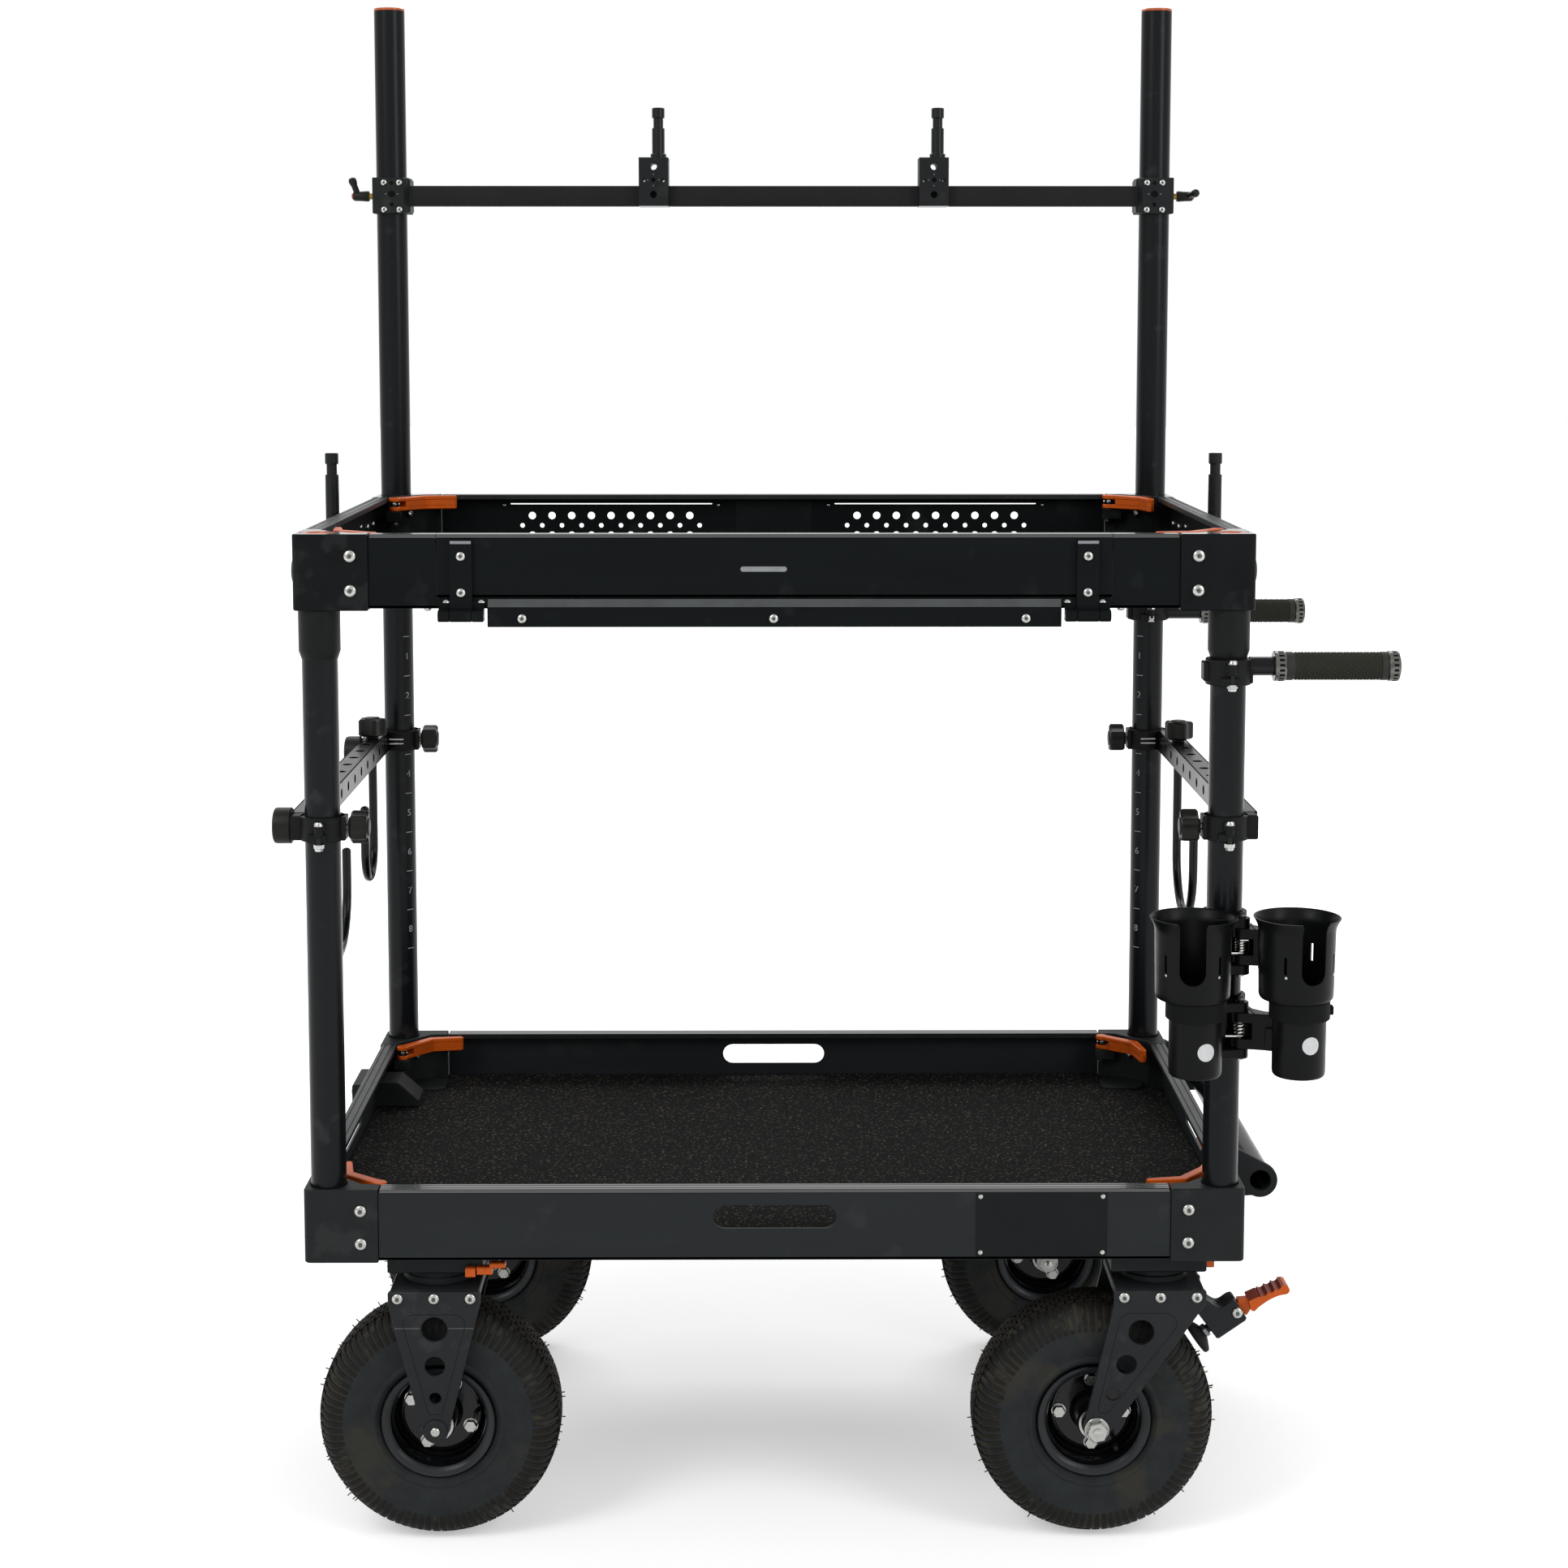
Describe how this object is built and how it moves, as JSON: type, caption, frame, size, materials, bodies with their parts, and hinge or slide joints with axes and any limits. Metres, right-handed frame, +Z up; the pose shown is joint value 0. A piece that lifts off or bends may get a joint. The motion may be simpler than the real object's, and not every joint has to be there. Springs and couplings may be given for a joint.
{
  "type": "camera cart",
  "caption": "Shelved production cart with tall rear masts, a crossbar with spigot pins, drop-down gate, accessory bars with hooks, sprung cup holders and pneumatic caster wheels.",
  "frame": {"origin": "on the floor, under the middle of the cart's overall box", "axes": "+Z up, +X to the cart's right, where the push handles stand out, +Y to its rear, where the masts are"},
  "size_m": [1.2216, 0.7462, 1.7256],
  "materials": {
    "casting": "black powder coat, fine texture",
    "deck": "black felt on a composite board",
    "fork": "dark grey powder coat",
    "lever": "orange anodised",
    "pad": "dark rubber on a steel stem",
    "pin": "black powder coat",
    "plastic": "black moulded, fine texture",
    "rail": "black anodised, fine satin",
    "rim": "gloss black",
    "spring": "bright spring wire",
    "tube": "black anodised, smooth",
    "tyre": "black rubber, ribbed tread"
  },
  "bodies": {
    "cart_frame": {"bottom_front_rail": "rail", "bottom_rear_rail": "rail", "bottom_left_frame": "casting", "bottom_right_frame": "casting", "bottom_deck": "deck", "top_front_rail": "rail", "top_rear_rail": "rail", "top_left_frame": "casting", "top_right_frame": "casting", "top_deck": "deck", "front_left_post": "tube", "front_right_post": "tube", "rear_left_mast": "tube", "rear_right_mast": "tube", "fork_front_left": "fork", "fork_rear_left": "fork", "caster_plate_front_right": "fork", "caster_plate_rear_right": "fork", "cup_holder_left": "plastic", "cup_spring": "spring"},
    "front_gate": {"front_gate": "rail"},
    "latch_bottom_front_left": {"latch_bottom_front_left": "lever"},
    "latch_bottom_front_right": {"latch_bottom_front_right": "lever"},
    "latch_bottom_rear_left": {"latch_bottom_rear_left": "lever"},
    "latch_bottom_rear_right": {"latch_bottom_rear_right": "lever"},
    "latch_top_front_left": {"latch_top_front_left": "lever"},
    "latch_top_front_right": {"latch_top_front_right": "lever"},
    "latch_top_rear_left": {"latch_top_rear_left": "lever"},
    "latch_top_rear_right": {"latch_top_rear_right": "lever"},
    "wheel_front_left": {"tyre_front_left": "tyre", "rim_front_left": "rim"},
    "wheel_rear_left": {"tyre_rear_left": "tyre", "rim_rear_left": "rim"},
    "swivel_front_right": {"fork_front_right": "fork"},
    "wheel_front_right": {"tyre_front_right": "tyre", "rim_front_right": "rim"},
    "brake_lever_front_right": {"brake_lever_front_right": "lever"},
    "brake_pad_front_right": {"brake_pad_front_right": "pad"},
    "swivel_rear_right": {"fork_rear_right": "fork"},
    "wheel_rear_right": {"tyre_rear_right": "tyre", "rim_rear_right": "rim"},
    "brake_lever_rear_right": {"brake_lever_rear_right": "lever"},
    "brake_pad_rear_right": {"brake_pad_rear_right": "pad"},
    "crossbar": {"crossbar": "tube"},
    "ratchet_lever_left": {"ratchet_lever_left": "plastic"},
    "pin_block_left": {"pin_block_left": "pin"},
    "ratchet_lever_right": {"ratchet_lever_right": "plastic"},
    "pin_block_right": {"pin_block_right": "pin"},
    "accessory_bar_left": {"accessory_bar_left": "tube"},
    "accessory_bar_right": {"accessory_bar_right": "tube"},
    "clamp_knob_front_left": {"clamp_knob_front_left": "plastic"},
    "clamp_knob_front_right": {"clamp_knob_front_right": "plastic"},
    "clamp_knob_rear_left": {"clamp_knob_rear_left": "plastic"},
    "clamp_knob_rear_right": {"clamp_knob_rear_right": "plastic"},
    "hook_left_rear": {"hook_left_rear": "tube"},
    "hook_left_front": {"hook_left_front": "tube"},
    "hook_right": {"hook_right": "tube"},
    "push_handle_front": {"push_handle_front": "plastic"},
    "push_handle_rear": {"push_handle_rear": "plastic"},
    "cup_holder_right": {"cup_holder_right": "plastic"}
  },
  "joints": [
    {"name": "gate_drop", "type": "hinge", "parent": "cart_frame", "child": "front_gate", "pos_m": [-0.07179, -0.29689, 1.0275], "axis": [1, 0, 0], "range_deg": [0, 180]},
    {"name": "latch_bottom_front_left_swing", "type": "hinge", "parent": "cart_frame", "child": "latch_bottom_front_left", "pos_m": [-0.50079, -0.26009, 0.405], "axis": [0, 0, -1], "range_deg": [0, 100]},
    {"name": "latch_bottom_front_right_swing", "type": "hinge", "parent": "cart_frame", "child": "latch_bottom_front_right", "pos_m": [0.40621, -0.21109, 0.405], "axis": [0, 0, -1], "range_deg": [0, 100]},
    {"name": "latch_bottom_rear_left_swing", "type": "hinge", "parent": "cart_frame", "child": "latch_bottom_rear_left", "pos_m": [-0.54979, 0.29131, 0.405], "axis": [0, 0, -1], "range_deg": [0, 100]},
    {"name": "latch_bottom_rear_right_swing", "type": "hinge", "parent": "cart_frame", "child": "latch_bottom_rear_right", "pos_m": [0.35721, 0.34031, 0.405], "axis": [0, 0, -1], "range_deg": [0, 100]},
    {"name": "latch_top_front_left_swing", "type": "hinge", "parent": "cart_frame", "child": "latch_top_front_left", "pos_m": [-0.50079, -0.26009, 1.113], "axis": [0, 0, -1], "range_deg": [0, 100]},
    {"name": "latch_top_front_right_swing", "type": "hinge", "parent": "cart_frame", "child": "latch_top_front_right", "pos_m": [0.40621, -0.21109, 1.113], "axis": [0, 0, -1], "range_deg": [0, 100]},
    {"name": "latch_top_rear_left_swing", "type": "hinge", "parent": "cart_frame", "child": "latch_top_rear_left", "pos_m": [-0.54979, 0.29131, 1.113], "axis": [0, 0, -1], "range_deg": [0, 100]},
    {"name": "latch_top_rear_right_swing", "type": "hinge", "parent": "cart_frame", "child": "latch_top_rear_right", "pos_m": [0.35721, 0.34031, 1.113], "axis": [0, 0, -1], "range_deg": [0, 100]},
    {"name": "wheel_spin_front_left", "type": "hinge", "parent": "cart_frame", "child": "wheel_front_left", "pos_m": [-0.44129, -0.22389, 0.133], "axis": [0, 1, 0], "continuous": true},
    {"name": "wheel_spin_rear_left", "type": "hinge", "parent": "cart_frame", "child": "wheel_rear_left", "pos_m": [-0.44129, 0.30411, 0.133], "axis": [0, 1, 0], "continuous": true},
    {"name": "caster_swivel_front_right", "type": "hinge", "parent": "cart_frame", "child": "swivel_front_right", "pos_m": [0.34671, -0.22389, 0], "axis": [0, 0, 1], "continuous": true},
    {"name": "wheel_spin_front_right", "type": "hinge", "parent": "swivel_front_right", "child": "wheel_front_right", "pos_m": [0.27921, -0.22389, 0.133], "axis": [0, 1, 0], "continuous": true},
    {"name": "brake_press_front_right", "type": "hinge", "parent": "swivel_front_right", "child": "brake_lever_front_right", "pos_m": [0.43821, -0.22389, 0.2475], "axis": [0, 1, 0], "range_deg": [0, 35]},
    {"name": "brake_pad_slide_front_right", "type": "slide", "parent": "swivel_front_right", "child": "brake_pad_front_right", "axis": [-0.8064, 0, -0.5914], "range_m": [0, 0.0062]},
    {"name": "caster_swivel_rear_right", "type": "hinge", "parent": "cart_frame", "child": "swivel_rear_right", "pos_m": [0.34671, 0.30411, 0], "axis": [0, 0, 1], "continuous": true},
    {"name": "wheel_spin_rear_right", "type": "hinge", "parent": "swivel_rear_right", "child": "wheel_rear_right", "pos_m": [0.27921, 0.30411, 0.133], "axis": [0, 1, 0], "continuous": true},
    {"name": "brake_press_rear_right", "type": "hinge", "parent": "swivel_rear_right", "child": "brake_lever_rear_right", "pos_m": [0.43821, 0.30411, 0.2475], "axis": [0, 1, 0], "range_deg": [0, 35]},
    {"name": "brake_pad_slide_rear_right", "type": "slide", "parent": "swivel_rear_right", "child": "brake_pad_rear_right", "axis": [-0.8064, 0, -0.5914], "range_m": [0, 0.0062]},
    {"name": "crossbar_height", "type": "slide", "parent": "cart_frame", "child": "crossbar", "axis": [0, 0, 1], "range_m": [-0.34, 0.2]},
    {"name": "ratchet_lever_left_turn", "type": "hinge", "parent": "crossbar", "child": "ratchet_lever_left", "pos_m": [-0.57789, 0.34591, 1.492], "axis": [1, 0, 0], "continuous": true},
    {"name": "pin_block_left_slide", "type": "slide", "parent": "crossbar", "child": "pin_block_left", "axis": [1, 0, 0], "range_m": [-0.27, 0.14]},
    {"name": "ratchet_lever_right_turn", "type": "hinge", "parent": "crossbar", "child": "ratchet_lever_right", "pos_m": [0.43431, 0.34591, 1.492], "axis": [1, 0, 0], "continuous": true},
    {"name": "pin_block_right_slide", "type": "slide", "parent": "crossbar", "child": "pin_block_right", "axis": [1, 0, 0], "range_m": [-0.14, 0.22]},
    {"name": "accessory_bar_left_height", "type": "slide", "parent": "cart_frame", "child": "accessory_bar_left", "axis": [0, 0, 1], "range_m": [-0.15, 0.12]},
    {"name": "accessory_bar_right_height", "type": "slide", "parent": "cart_frame", "child": "accessory_bar_right", "axis": [0, 0, 1], "range_m": [-0.06, 0.1]},
    {"name": "clamp_knob_front_left_turn", "type": "hinge", "parent": "accessory_bar_left", "child": "clamp_knob_front_left", "pos_m": [-0.53104, -0.26569, 0.797], "axis": [1, 0, 0], "continuous": true},
    {"name": "clamp_knob_front_right_turn", "type": "hinge", "parent": "accessory_bar_right", "child": "clamp_knob_front_right", "pos_m": [0.38746, -0.26569, 0.797], "axis": [1, 0, 0], "continuous": true},
    {"name": "clamp_knob_rear_left_turn", "type": "hinge", "parent": "accessory_bar_left", "child": "clamp_knob_rear_left", "pos_m": [-0.53104, 0.34591, 0.797], "axis": [1, 0, 0], "continuous": true},
    {"name": "clamp_knob_rear_right_turn", "type": "hinge", "parent": "accessory_bar_right", "child": "clamp_knob_rear_right", "pos_m": [0.38746, 0.34591, 0.797], "axis": [1, 0, 0], "continuous": true},
    {"name": "hook_left_rear_turn", "type": "hinge", "parent": "accessory_bar_left", "child": "hook_left_rear", "pos_m": [-0.57979, 0.26911, 0.797], "axis": [0, 0, 1], "range_deg": [-90, 90]},
    {"name": "hook_left_front_turn", "type": "hinge", "parent": "accessory_bar_left", "child": "hook_left_front", "pos_m": [-0.57979, -0.08649, 0.797], "axis": [0, 0, 1], "range_deg": [-90, 90]},
    {"name": "hook_right_turn", "type": "hinge", "parent": "accessory_bar_right", "child": "hook_right", "pos_m": [0.43621, 0.23711, 0.797], "axis": [0, 0, 1], "range_deg": [-90, 90]},
    {"name": "push_handle_front_turn", "type": "hinge", "parent": "cart_frame", "child": "push_handle_front", "pos_m": [0.41181, -0.26569, 0.9648], "axis": [0, 0, 1], "range_deg": [-90, 0]},
    {"name": "push_handle_rear_turn", "type": "hinge", "parent": "cart_frame", "child": "push_handle_rear", "pos_m": [0.41181, 0.34591, 0.963], "axis": [0, 0, 1], "range_deg": [0, 90]},
    {"name": "cup_jaw_squeeze", "type": "hinge", "parent": "cart_frame", "child": "cup_holder_right", "pos_m": [0.42421, -0.30289, 0.645], "axis": [0, 0, -1], "range_deg": [0, 12], "stiffness_Nm_per_rad": 2, "springref_deg": -11.46, "deforming": ["cup_spring"]}
  ],
  "couplings": [
    {"joint": "brake_pad_slide_front_right", "follows": "brake_press_front_right", "m_per_rad": 0.01},
    {"joint": "brake_pad_slide_rear_right", "follows": "brake_press_rear_right", "m_per_rad": 0.01}
  ]
}
